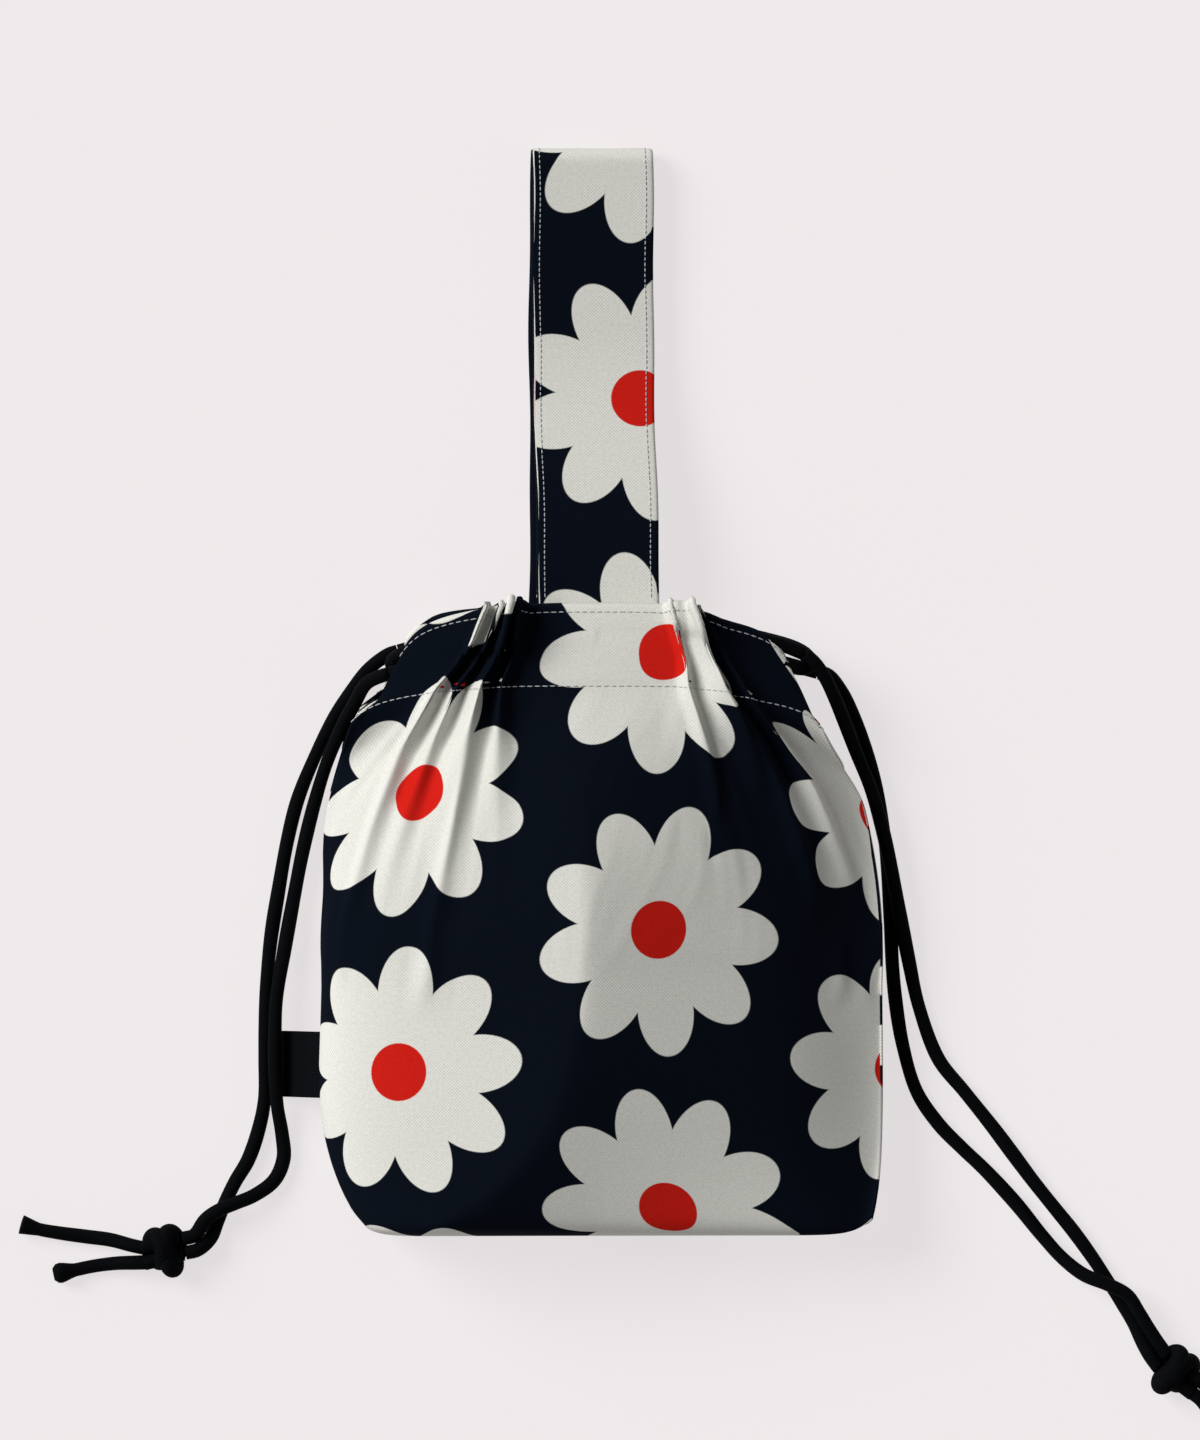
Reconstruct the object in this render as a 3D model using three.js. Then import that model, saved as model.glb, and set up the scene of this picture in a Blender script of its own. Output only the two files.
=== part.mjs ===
// Kinchaku pouch of printed canvas, lying on its back as it is laid down when not in use.
// Two panels are sewn together down the sides and across a boxed base. Each panel's top is turned
// over as a hem, which makes the channel for two drawcords. A wide strap is sewn inside the mouth.
// Millimetres. +Z is up, +Y runs from the base to the strap, +X is the pouch's right-hand side.
// The origin is on the flat face of the back that the pouch lies on.
import * as THREE from "three";

// Canvas body
const CLOTH = 1.2;
const GAP = 0.3;
const BODY_WIDTH = 186;
const BODY_LENGTH = 209;
const BODY_DEPTH = 55;
const BASE_WIDTH = 156;
const BASE_DEPTH = 48;
const BASE_EDGE = 12;
const BASE_TO_ORIGIN = 90.7;
const BASE_SWELL_LENGTH = 62;
const SHOULDER_WIDTH = 158;
const SHOULDER_DEPTH = 39;
const SEAM_HEIGHT = 16;
const SWELL_POWER = 2.6;
const BASE_SQUARENESS = 4.5;
const BODY_SQUARENESS = 2.4;
const BACK_FLATNESS = 1.25;

// Gathered mouth and its turned hem
const HEM = 27;
const MOUTH_WIDTH = 132;
const MOUTH_DROOP = 11;
const HEM_CROWN = 5;
const FLAT_MIDDLE = 46;
const PLEATS_A_SIDE = 4;
const PLEAT_HEIGHT = 2.5;
const PLEAT_LENGTH = 85;
const SIDE_SLIT = 20;
const SLIT_HALF = 13;
const FLOOR_CLEARANCE = 0.3;
const MOUTH_FOLD = 1.2;

// Drawcords
const CORD = 4.6;
const CORD_CLEARANCE = 0.7;
const CORD_SIDES = 8;
const LANE_FROM_EDGE = 4.4;
const LANE_PITCH = 7;
const CORD_LEAD = 3.5;
const CORD_TURN = 2.6;
const KNOT_RADIUS = 7;
const KNOT_LENGTH = 12.6;
const KNOT_WRAPS = 3;
const WRAP_DIP = 1.1;
const KNOT_HEIGHT = 6.6;
const KNOT_SIDES = 14;
const KNOT_LEAD = 4;
const KNOT_EASE = 0.1;

// Handle strap
const STRAP_WIDTH = 40.5;
const STRAP = 2;
const STRAP_REACH = 152;
const STRAP_TUCK = 22;
const STRAP_OFFSET = -2.4;
const STRAP_FOLD = 6;
const STRAP_STRAIGHT = 3;
const FRONT_LEG_SETTLE = 88;
const BACK_LEG_SETTLE = 40;

// Side label
const LABEL_HEIGHT = 22;
const LABEL_REACH = 16.4;
const LABEL = 1;
const LABEL_CENTRE_Y = -34.5;
const LABEL_ROOT_EASE = 0.3;

const CHANNEL = CORD + 2 * CORD_CLEARANCE;
const HEM_THICKNESS = 2 * CLOTH + CHANNEL;
const BASE_Y = -BASE_TO_ORIGIN;
const MOUTH_Y = BASE_Y + BODY_LENGTH;
const STITCH_Y = MOUTH_Y - HEM;
const PANEL_RUN = STITCH_Y - BASE_Y - BASE_EDGE;
const CHANNEL_BOTTOM = 2.12;
const CHANNEL_TOP = 2.95;
const DROOP_SPAN = [1.2, 2.3];
const FRONT = 1;
const BACK = -1;

const { clamp, lerp, smoothstep } = THREE.MathUtils;

const CANVAS = { color: 0x0a101d, roughness: 0.9, metalness: 0 };
const CORD_FINISH = { color: 0x08090c, roughness: 0.85, metalness: 0 };
const LABEL_FINISH = { color: 0x0b0b0e, roughness: 0.7, metalness: 0 };

const pouch = new THREE.Group();

function addPiece(name, geometry, finish) {
  const mesh = new THREE.Mesh(geometry, new THREE.MeshStandardMaterial(finish));
  mesh.name = name;
  pouch.add(mesh);
  return mesh;
}

// Where a panel is along its path: 0 base seam, 1 top of the base edge, 2 hem stitching, 3 mouth edge.
function station(path) {
  const turn = clamp(path, 0, 1) * Math.PI / 2;
  const body = clamp(path - 1, 0, 1);
  const hem = Math.max(path - 2, 0);
  const edge = BASE_EDGE * (1 - Math.sqrt(Math.abs(Math.cos(turn))));
  const y = BASE_Y + edge + body * PANEL_RUN + hem * HEM;
  const swell = 1 - (1 - clamp((y - BASE_Y) / BASE_SWELL_LENGTH, 0, 1)) ** SWELL_POWER;
  const fall = (2 * Math.max(body - 0.5, 0)) ** 2;
  const gather = smoothstep(path, 2 - PLEAT_LENGTH / PANEL_RUN, 2);
  const bodyHalf = lerp(BASE_WIDTH, BODY_WIDTH, swell) / 2 - fall * (BODY_WIDTH - SHOULDER_WIDTH) / 2;
  const bodyTop = lerp(BASE_DEPTH, BODY_DEPTH, swell) - fall * (BODY_DEPTH - SHOULDER_DEPTH);
  const hemTop = SEAM_HEIGHT + SLIT_HALF + HEM_CROWN;
  return {
    y,
    lift: Math.sqrt(Math.sin(turn)),
    half: lerp(bodyHalf, MOUTH_WIDTH / 2, hem),
    top: lerp(bodyTop, hemTop, hem),
    seam: lerp(BASE_DEPTH / 2, SEAM_HEIGHT, swell),
    floor: gather * (PLEAT_HEIGHT + FLOOR_CLEARANCE),
    slit: lerp(GAP / 2, SLIT_HALF, smoothstep(path, 2 - SIDE_SLIT / PANEL_RUN, 2)),
    droop: MOUTH_DROOP * smoothstep(path, ...DROOP_SPAN),
    squareness: lerp(BASE_SQUARENESS, BODY_SQUARENESS, swell),
    gather,
  };
}

// Outer face of a panel without its pleats. across runs from -1 at the left seam to 1 at the right.
function panelPoint(side, across, path) {
  const at = station(path);
  const x = lerp(Math.sin(across * Math.PI / 2), across, at.gather);
  const dome = (1 - Math.abs(x) ** at.squareness) ** (1 / at.squareness);
  const crown = lerp(dome, 1 - x * x, at.gather) * at.lift;
  const y = at.y - at.droop * x * x;
  const edge = at.seam + side * at.slit;
  const front = edge + (at.top - edge) * crown;
  const back = edge - (edge - at.floor) * Math.min(1, BACK_FLATNESS * crown);
  return new THREE.Vector3(at.half * x, y, side === FRONT ? front : back);
}

// Outward direction of a panel. At the sewn sides and the base seam it lies level, so that the edges meet.
function panelNormal(side, across, path) {
  const step = 0.02;
  const rim = 0.03;
  const a = clamp(across, rim - 1, 1 - rim);
  const p = clamp(path, 2 * rim, 3 - rim);
  const along = panelPoint(side, a, p + step).sub(panelPoint(side, a, p - step));
  const over = panelPoint(side, a + step, p).sub(panelPoint(side, a - step, p));
  const normal = over.cross(along).multiplyScalar(side);
  const sewnSide = Math.abs(across) === 1 && path < 2 - SIDE_SLIT / PANEL_RUN;
  if (sewnSide || path === 0) normal.z = 0;
  return normal.normalize();
}

// A point at a height above the panel's outer face, along its normal.
function onPanel(side, across, path, height) {
  const normal = panelNormal(side, across, path);
  return panelPoint(side, across, path).addScaledVector(normal, height);
}

function pleat(across, path) {
  const flat = FLAT_MIDDLE / MOUTH_WIDTH;
  const phase = Math.max(Math.abs(across) - flat, 0) / (1 - flat) * PLEATS_A_SIDE;
  return PLEAT_HEIGHT * station(path).gather * (0.5 - 0.5 * Math.cos(2 * Math.PI * phase));
}

// Places on the path where a panel's section has its corners.
const PANEL_ROWS = [0, 0.12, 0.3, 0.6, 1, 1.12, 1.3, 1.5, 1.65, 1.78, 1.88, 1.94];
const HEM_ROWS = [2, 2.35, 2.65, 3];
const [HEM_STITCHES, ...TURNED_ROWS] = HEM_ROWS;

// One panel's section, from the base seam up the outside, over the mouth edge, down the turned hem to
// its stitching and down the inside. Each entry is a place on the path and a height above the outer face.
function panelSection(across) {
  const bulge = (path) => pleat(across, path);
  const outside = [...PANEL_ROWS, ...HEM_ROWS].map((path) => [path, bulge(path)]);
  const fold = [3 + MOUTH_FOLD / HEM, -HEM_THICKNESS / 2];
  const turned = [...TURNED_ROWS].reverse().map((path) => [path, -HEM_THICKNESS]);
  const stitched = [HEM_STITCHES, bulge(HEM_STITCHES) - 2 * CLOTH];
  const inside = [...PANEL_ROWS].reverse().map((path) => [path, bulge(path) - CLOTH]);
  return [...outside, fold, ...turned, stitched, ...inside];
}

// The drawcord channel inside the hem, which runs right through from side to side.
function channelSection(across) {
  const roof = (path) => [path, pleat(across, path) - CLOTH];
  const wall = (path) => [path, -CLOTH - CHANNEL];
  const [low, high] = TURNED_ROWS;
  const down = [roof(CHANNEL_TOP), roof(high), roof(low), roof(CHANNEL_BOTTOM)];
  return [...down, wall(low), wall(high), wall(CHANNEL_TOP)];
}

function panelColumns() {
  const flat = FLAT_MIDDLE / MOUTH_WIDTH;
  const middle = [-0.5, 0, 0.5].map((share) => share * flat);
  const steps = 4 * PLEATS_A_SIDE;
  const right = Array.from({ length: steps + 1 }, (_, i) => lerp(flat, 1, i / steps));
  return [...right.map((across) => -across).reverse(), ...middle, ...right];
}

// Joins sections set side by side into one closed solid with a channel through it.
function panelGeometry(side) {
  const columns = panelColumns();
  const positions = [];
  const faces = [];
  const loops = [panelSection, channelSection];
  const sizes = loops.map((loop) => loop(0).length);
  const perColumn = sizes[0] + sizes[1];
  for (const across of columns) {
    for (const [path, height] of loops.flatMap((loop) => loop(across))) {
      positions.push(...onPanel(side, across, path, height).toArray());
    }
  }
  const quad = (a, b, c, d) => faces.push(a, b, c, a, c, d);
  for (let column = 0; column + 1 < columns.length; column += 1) {
    const here = column * perColumn;
    const next = here + perColumn;
    for (let loop = 0, start = 0; loop < 2; start += sizes[loop], loop += 1) {
      for (let i = 0; i < sizes[loop]; i += 1) {
        const j = start + (i + 1) % sizes[loop];
        quad(here + start + i, here + j, next + j, next + start + i);
      }
    }
  }
  const last = (columns.length - 1) * perColumn;
  for (const [a, b, c] of panelCap(sizes[0])) {
    faces.push(a, b, c);
    faces.push(last + a, last + c, last + b);
  }
  return outwardGeometry(positions, faces);
}

// Steps round a hem's side edge: a corner of the hem, from its stitching on, with a corner of the channel.
const HEM_ROUND = [[0, 3], [1, 2], [2, 1], [3, 0], [4, 0], [4, 6], [5, 6], [6, 5], [7, 4], [8, 3], [0, 3]];

// Triangles that close a panel's side edge: a strip up the single cloth, then the hem round its channel.
function panelCap(sectionSize) {
  const inner = (row) => sectionSize - 1 - row;
  const cap = [];
  for (let row = 0; row < PANEL_ROWS.length; row += 1) {
    cap.push([row, inner(row), inner(row + 1)]);
    cap.push([row, inner(row + 1), row + 1]);
  }
  for (let step = 0; step + 1 < HEM_ROUND.length; step += 1) {
    const [hem, channel] = HEM_ROUND[step];
    const [nextHem, nextChannel] = HEM_ROUND[step + 1];
    const start = PANEL_ROWS.length + hem;
    const across = sectionSize + nextChannel;
    if (channel !== nextChannel) cap.push([start, sectionSize + channel, across]);
    if (hem !== nextHem) cap.push([start, across, PANEL_ROWS.length + nextHem]);
  }
  return cap;
}

// An indexed geometry with its faces turned outwards.
function outwardGeometry(positions, faces) {
  const corner = (i) => new THREE.Vector3().fromArray(positions, 3 * i);
  let volume = 0;
  for (let i = 0; i < faces.length; i += 3) {
    const [a, b, c] = [corner(faces[i]), corner(faces[i + 1]), corner(faces[i + 2])];
    volume += a.dot(b.cross(c));
  }
  const geometry = new THREE.BufferGeometry();
  geometry.setAttribute("position", new THREE.Float32BufferAttribute(positions, 3));
  geometry.setIndex(volume > 0 ? faces : [...faces].reverse());
  geometry.computeVertexNormals();
  return geometry;
}

addPiece("front_panel", panelGeometry(FRONT), CANVAS);
addPiece("back_panel", panelGeometry(BACK), CANVAS);

// A band of even thickness bent along a route in a plane, then drawn out to its width.
function bandGeometry(route, thickness, width) {
  const upper = [];
  const lower = [];
  route.forEach((at, i) => {
    const ahead = route[Math.min(i + 1, route.length - 1)];
    const behind = route[Math.max(i - 1, 0)];
    const tangent = ahead.clone().sub(behind).normalize();
    const across = new THREE.Vector2(-tangent.y, tangent.x).multiplyScalar(thickness / 2);
    upper.push(at.clone().add(across));
    lower.unshift(at.clone().sub(across));
  });
  const outline = new THREE.Shape([...upper, ...lower]);
  return new THREE.ExtrudeGeometry(outline, { depth: width, bevelEnabled: false });
}

const spread = (from, to, count) => Array.from({ length: count + 1 }, (_, i) => lerp(from, to, i / count));

// Handle strap: one loop of doubled canvas, its two ends sewn to the hems inside the mouth.
// Outside the mouth both legs come down towards the surface, and the loop folds over at the far end.
const strapEdge = (STRAP_WIDTH / 2 + Math.abs(STRAP_OFFSET)) / (MOUTH_WIDTH / 2);
function strapSeat(side) {
  const heights = TURNED_ROWS.map((path) => side * onPanel(side, strapEdge, path, -HEM_THICKNESS).z);
  return side * Math.min(...heights) - side * (GAP + STRAP / 2);
}
const frontSeat = strapSeat(FRONT);
const backSeat = strapSeat(BACK);
const lowLeg = STRAP / 2;
const highLeg = lowLeg + STRAP + STRAP_FOLD;
const foldRadius = (highLeg - lowLeg) / 2;
const tuckY = MOUTH_Y - STRAP_TUCK;
const foldY = MOUTH_Y + STRAP_REACH - STRAP / 2 - foldRadius;
// A leg leaves its seat straight, then eases down to its resting height within the length given.
const legCurve = (seat, rest, length) => spread(0, 1, 12).map((share) => new THREE.Vector2(
  MOUTH_Y + STRAP_STRAIGHT + share * length,
  lerp(seat, rest, smoothstep(share, 0, 1)),
));
const foldPoint = (angle) => new THREE.Vector2(
  foldY + foldRadius * Math.sin(angle),
  lowLeg + foldRadius * (1 + Math.cos(angle)),
);
const strapRoute = [
  new THREE.Vector2(tuckY, frontSeat),
  ...legCurve(frontSeat, highLeg, FRONT_LEG_SETTLE),
  ...spread(0, Math.PI, 8).map(foldPoint),
  ...legCurve(backSeat, lowLeg, BACK_LEG_SETTLE).reverse(),
  new THREE.Vector2(tuckY, backSeat),
];
const strap = addPiece("handle_strap", bandGeometry(strapRoute, STRAP, STRAP_WIDTH), CANVAS);
strap.position.x = STRAP_OFFSET - STRAP_WIDTH / 2;
strap.rotation.set(Math.PI / 2, Math.PI / 2, 0);

// Side label: a folded woven tab caught in the left side seam, its outer end down on the surface.
const labelBottom = LABEL_CENTRE_Y - LABEL_HEIGHT / 2;
const labelPath = 1 + (LABEL_CENTRE_Y - BASE_Y - BASE_EDGE) / PANEL_RUN;
const labelRoot = station(labelPath).half + GAP + LABEL_ROOT_EASE;
const labelPoint = (share) => new THREE.Vector2(
  labelRoot + share * LABEL_REACH,
  lerp(SEAM_HEIGHT, LABEL / 2 + FLOOR_CLEARANCE, smoothstep(share, -0.15, 1.05)),
);
const labelRoute = spread(0, 1, 10).map(labelPoint);
const label = addPiece("side_label", bandGeometry(labelRoute, LABEL, LABEL_HEIGHT), LABEL_FINISH);
label.rotation.set(-Math.PI / 2, 0, Math.PI);
label.position.y = labelBottom;

// A length of round cord along a smooth route.
function addCord(name, points, steps) {
  const route = new THREE.CatmullRomCurve3(points, false, "centripetal");
  const section = new THREE.Shape();
  section.absarc(0, 0, CORD / 2, 0, 2 * Math.PI);
  const settings = { steps, curveSegments: CORD_SIDES / 2, extrudePath: route, bevelEnabled: false };
  addPiece(name, new THREE.ExtrudeGeometry(section, settings), CORD_FINISH);
}

// Lanes of the two cords in a hem: the upper lies by the mouth edge and the lower beside it.
const upperLane = 3 - LANE_FROM_EDGE / HEM;
const lowerLane = upperLane - LANE_PITCH / HEM;
const laneHeight = -CLOTH - CHANNEL / 2;
const lanePoint = (side, across, lane) => onPanel(side, across, lane, laneHeight);

// The way a hem's channel points where it opens at the side, and a place so far out along it.
function channelMouth(side, hand, lane, out) {
  const end = lanePoint(side, hand, lane);
  const before = lanePoint(side, hand * (1 - CORD / MOUTH_WIDTH), lane);
  const heading = end.clone().sub(before).normalize();
  return end.addScaledVector(heading, out);
}

// A cord's run through both hems: along the front, round the far side slit and back along the back.
function channelRun(hand, frontLane, backLane) {
  const shares = spread(hand, -hand, 8);
  const front = shares.map((across) => lanePoint(FRONT, across, frontLane));
  const back = shares.map((across) => lanePoint(BACK, across, backLane)).reverse();
  const leaving = channelMouth(FRONT, -hand, frontLane, CORD_LEAD);
  const entering = channelMouth(BACK, -hand, backLane, CORD_LEAD);
  const bend = leaving.clone().lerp(entering, 0.5);
  bend.x -= hand * CORD_TURN;
  return [...front, leaving, bend, entering, ...back];
}

// A knot's place, its axis from the strands to the tails, and where two cords side by side meet its ends.
function knotFrame(x, y, heading) {
  const axis = new THREE.Vector3(Math.cos(heading), Math.sin(heading), 0);
  const beside = new THREE.Vector3(-axis.y, axis.x, 0);
  const centre = new THREE.Vector3(x, y, KNOT_HEIGHT);
  const at = (along, over, out) => centre.clone()
    .addScaledVector(axis, along * (KNOT_LENGTH / 2 + GAP + out))
    .addScaledVector(beside, over * (CORD / 2 + GAP / 2));
  const strandEnd = (over) => [at(-1, over, KNOT_LEAD), at(-1, over, 0)];
  const tailStart = (over) => [at(1, over, 0), at(1, over, KNOT_LEAD)];
  return { centre, heading, strandEnd, tailStart };
}

// Overhand knot of the two strands, drawn down to a ribbed barrel with flat ends.
function addKnot(name, frame) {
  const count = 4 * KNOT_WRAPS;
  const profile = [new THREE.Vector2(0, -KNOT_LENGTH / 2)];
  for (let i = 0; i <= count; i += 1) {
    const share = i / count;
    const wrap = Math.abs(Math.sin(share * Math.PI * KNOT_WRAPS));
    const belly = Math.sqrt(Math.sin(share * Math.PI));
    const radius = lerp(CORD + GAP, KNOT_RADIUS - WRAP_DIP * (1 - wrap), belly);
    profile.push(new THREE.Vector2(radius, (share - 0.5) * KNOT_LENGTH));
  }
  profile.push(new THREE.Vector2(0, KNOT_LENGTH / 2));
  const barrel = new THREE.LatheGeometry(profile, KNOT_SIDES);
  barrel.scale(1, 1, (KNOT_HEIGHT - KNOT_EASE) / KNOT_RADIUS);
  const knot = addPiece(name, barrel, CORD_FINISH);
  knot.position.copy(frame.centre);
  knot.rotation.z = frame.heading - Math.PI / 2;
}

const points = (list) => list.map(([x, y, z]) => new THREE.Vector3(x, y, z));

// A strand starts a gap outside its hem and runs straight on from the channel.
const strandStart = (side, hand, lane) => [GAP, CORD_LEAD].map((out) => channelMouth(side, hand, lane, out));

// Left drawcord
const leftKnot = knotFrame(-145.8, -96.5, Math.atan2(-0.24, -0.97));
addCord("left_cord_channel_loop", channelRun(-1, lowerLane, upperLane), 52);
addCord("left_cord_front_strand", [...strandStart(FRONT, -1, lowerLane), ...points([
  [-78.5, 92, 21.4], [-82.5, 85.5, 17], [-87.3, 76.5, 11.6], [-91.8, 66, 7.4],
  [-95.8, 53.3, 5], [-99.8, 37, 4.8], [-103.1, 20, 4.9], [-106.1, 3.3, 5.6], [-108.7, -13.3, 6.8],
  [-109.2, -26.7, 7.3], [-109.1, -38, 7.1], [-108.4, -48.5, 5.8], [-106.9, -58, 3], [-106.4, -66, 2.5],
  [-109.4, -73.2, 2.8], [-116, -78.2, 4.7], [-122.3, -80.8, 7], [-127.6, -83, 7.6], [-132.2, -86.2, 7.2],
]), ...leftKnot.strandEnd(-1)], 26);
addCord("left_cord_back_strand", [...strandStart(BACK, -1, upperLane), ...points([
  [-79.3, 98, 5.4], [-85.3, 90.5, 4.2], [-91.2, 80.8, 3.3], [-97, 67.5, 2.6],
  [-101.7, 53.5, 2.4], [-105.1, 40, 2.4], [-108.1, 23.3, 2.4], [-110.7, 6.7, 2.4], [-112.2, -10, 2.4],
  [-112.5, -23.3, 2.4], [-112.6, -33.3, 2.4], [-113.6, -46.7, 2.4], [-116, -56.7, 2.4],
  [-119.4, -66.7, 2.4], [-122.4, -73.6, 2.4], [-125.7, -80.3, 2.4], [-128.5, -87.2, 2.6],
  [-130.6, -92.4, 3.8],
]), ...leftKnot.strandEnd(1)], 26);
addKnot("left_cord_knot", leftKnot);
addCord("left_cord_upper_tail", [...leftKnot.tailStart(-1), ...points([
  [-164, -93.6, 3.8], [-172, -92, 2.4], [-181, -90.7, 2.4], [-187.7, -89.3, 2.4], [-193.7, -87.3, 2.4],
])], 6);
addCord("left_cord_lower_tail", [...leftKnot.tailStart(1), ...points([
  [-163, -102, 3.8], [-170, -102.4, 2.4], [-177, -102.8, 2.4], [-182.3, -103.3, 2.4],
])], 5);

// Right drawcord
const rightKnot = knotFrame(191.7, -137.7, Math.atan2(-0.6, 0.8));
addCord("right_cord_channel_loop", channelRun(1, upperLane, lowerLane), 52);
addCord("right_cord_front_strand", [...strandStart(FRONT, 1, upperLane), ...points([
  [77.2, 99.5, 25], [80.8, 92.5, 20.6], [84.4, 83, 15], [88.3, 71.5, 9.8],
  [92.8, 58, 7.6], [95.8, 44, 7.2], [98, 30, 6.8], [100.4, 16, 5.6], [102.9, 0, 3], [105.7, -15.7, 2.4],
  [111.8, -33, 2.4], [120.5, -43.9, 2.4], [129.9, -55.7, 2.4], [136.5, -64.5, 2.4], [143, -73.2, 2.4],
  [150, -82, 2.4], [157, -90.7, 2.4], [163, -99, 2.4], [168.4, -107.2, 2.4], [172, -114.4, 2.5],
  [174.6, -121.5, 3.2], [177.2, -127.6, 4.8],
]), ...rightKnot.strandEnd(-1)], 28);
addCord("right_cord_back_strand", [...strandStart(BACK, 1, lowerLane), ...points([
  [79.6, 89, 5], [83.4, 81.5, 3.6], [87, 72, 2.8], [90.6, 59, 2.4], [93.2, 45, 2.4],
  [94.9, 30, 2.4], [95.8, 14, 2.4], [96.3, 0, 2.4], [97.4, -13, 2.4], [99.8, -28, 2.4],
  [104.5, -43.7, 2.4], [111.8, -54.6, 2.4], [119.5, -62.5, 2.4], [127.3, -69.9, 2.4],
  [137.7, -81.2, 2.4], [146.3, -91.8, 2.4], [153, -99.2, 3.2], [160, -104.6, 5.6], [168, -107.8, 7.5],
  [174, -111.4, 7.5], [178.4, -116.8, 7.2], [181.6, -123.2, 6.8],
]), ...rightKnot.strandEnd(1)], 28);
addKnot("right_cord_knot", rightKnot);
addCord("right_cord_upper_tail", [...rightKnot.tailStart(1), ...points([
  [209, -146, 3.6], [216.5, -148.2, 2.4], [225, -149, 2.4], [233, -148.6, 2.4],
])], 5);
addCord("right_cord_lower_tail", [...rightKnot.tailStart(-1), ...points([
  [203.4, -152.2, 3.6], [208.6, -157.6, 2.4], [214.5, -162, 2.4], [220, -165.5, 2.4],
])], 5);

export default pouch;
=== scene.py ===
import math

import bpy
import numpy as np
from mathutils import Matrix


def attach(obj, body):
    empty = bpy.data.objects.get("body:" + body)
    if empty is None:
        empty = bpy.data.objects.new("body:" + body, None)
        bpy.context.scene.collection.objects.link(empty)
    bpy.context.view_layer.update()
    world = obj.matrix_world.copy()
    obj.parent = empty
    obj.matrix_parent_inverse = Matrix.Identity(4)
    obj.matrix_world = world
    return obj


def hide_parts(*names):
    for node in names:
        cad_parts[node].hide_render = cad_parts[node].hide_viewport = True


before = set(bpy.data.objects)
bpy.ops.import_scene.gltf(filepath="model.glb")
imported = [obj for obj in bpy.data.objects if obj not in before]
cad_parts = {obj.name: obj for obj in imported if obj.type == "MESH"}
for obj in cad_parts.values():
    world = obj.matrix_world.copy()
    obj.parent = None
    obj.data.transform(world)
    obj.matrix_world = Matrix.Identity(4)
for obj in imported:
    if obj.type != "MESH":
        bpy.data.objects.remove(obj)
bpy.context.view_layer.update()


# Floor, light and camera. The pouch lies on a plain pale floor and is seen from straight above.
# A large soft light stands at the upper left, and the room adds an even light from all round.
scene = bpy.context.scene
scene.view_settings.view_transform = "Standard"


def mesh_object(name, points, faces, smooth=True):
    """A mesh piece at the origin from points in metres."""
    mesh = bpy.data.meshes.new(name)
    mesh.from_pydata([tuple(p) for p in points], [], [tuple(f) for f in faces])
    mesh.polygons.foreach_set("use_smooth", [smooth] * len(mesh.polygons))
    piece = bpy.data.objects.new(name, mesh)
    scene.collection.objects.link(piece)
    return piece


def new_material(name, colour, roughness, specular):
    """A plain material, with the shader that later lines link into."""
    material = bpy.data.materials.new(name)
    material.use_nodes = True
    shader = material.node_tree.nodes["Principled BSDF"]
    shader.inputs["Base Color"].default_value = colour
    shader.inputs["Roughness"].default_value = roughness
    shader.inputs["Specular IOR Level"].default_value = specular
    return material, shader


floor_half = 6.0
floor_corners = [(-floor_half, -floor_half, 0), (floor_half, -floor_half, 0), (floor_half, floor_half, 0),
                 (-floor_half, floor_half, 0)]
floor = mesh_object("floor", floor_corners, [(0, 1, 2, 3)], smooth=False)
floor_paper = (0.16, 0.157, 0.158, 1.0)
floor_glow = (0.722, 0.686, 0.693, 1.0)
floor_paint, floor_shader = new_material("pale_floor", floor_paper, 1.0, 0.0)
floor_shader.inputs["Emission Color"].default_value = floor_glow
floor_shader.inputs["Emission Strength"].default_value = 1.0
floor.data.materials.append(floor_paint)

world = bpy.data.worlds.new("studio")
scene.world = world
world.use_nodes = True
room = world.node_tree.nodes["Background"]
room.inputs["Color"].default_value = (1.0, 1.0, 1.0, 1.0)
room.inputs["Strength"].default_value = 0.2

lamp = bpy.data.lights.new("key", "SUN")
lamp.energy = 3.65
lamp.angle = math.radians(34)
lamp.color = (1.0, 0.99, 0.975)
key = bpy.data.objects.new("key", lamp)
scene.collection.objects.link(key)
key.location = (-1.0, 0.55, 0.82)
aim = -key.location.normalized()
key.rotation_euler = aim.to_track_quat("-Z", "Y").to_euler()

camera_height = 4.0
view_height = 0.480
lens = bpy.data.cameras.new("camera")
lens.sensor_fit = "VERTICAL"
lens.sensor_height = 24
lens.lens = lens.sensor_height * camera_height / view_height
camera = bpy.data.objects.new("camera", lens)
scene.collection.objects.link(camera)
camera.location = (-0.001, 0.080, camera_height)
scene.camera = camera


# Left drawcord, run through the hems. Black braided cord, 4.6 mm thick, drawn in at the left side slit. It
# goes along the front hem, round the right side slit and back along the back hem.
cord_thickness = 0.0046


def line_places(line):
    """How far along a line each of its points is."""
    return np.concatenate([[0], np.cumsum(np.linalg.norm(np.diff(line, axis=0), axis=1))])


cord_step = 0.0012


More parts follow.
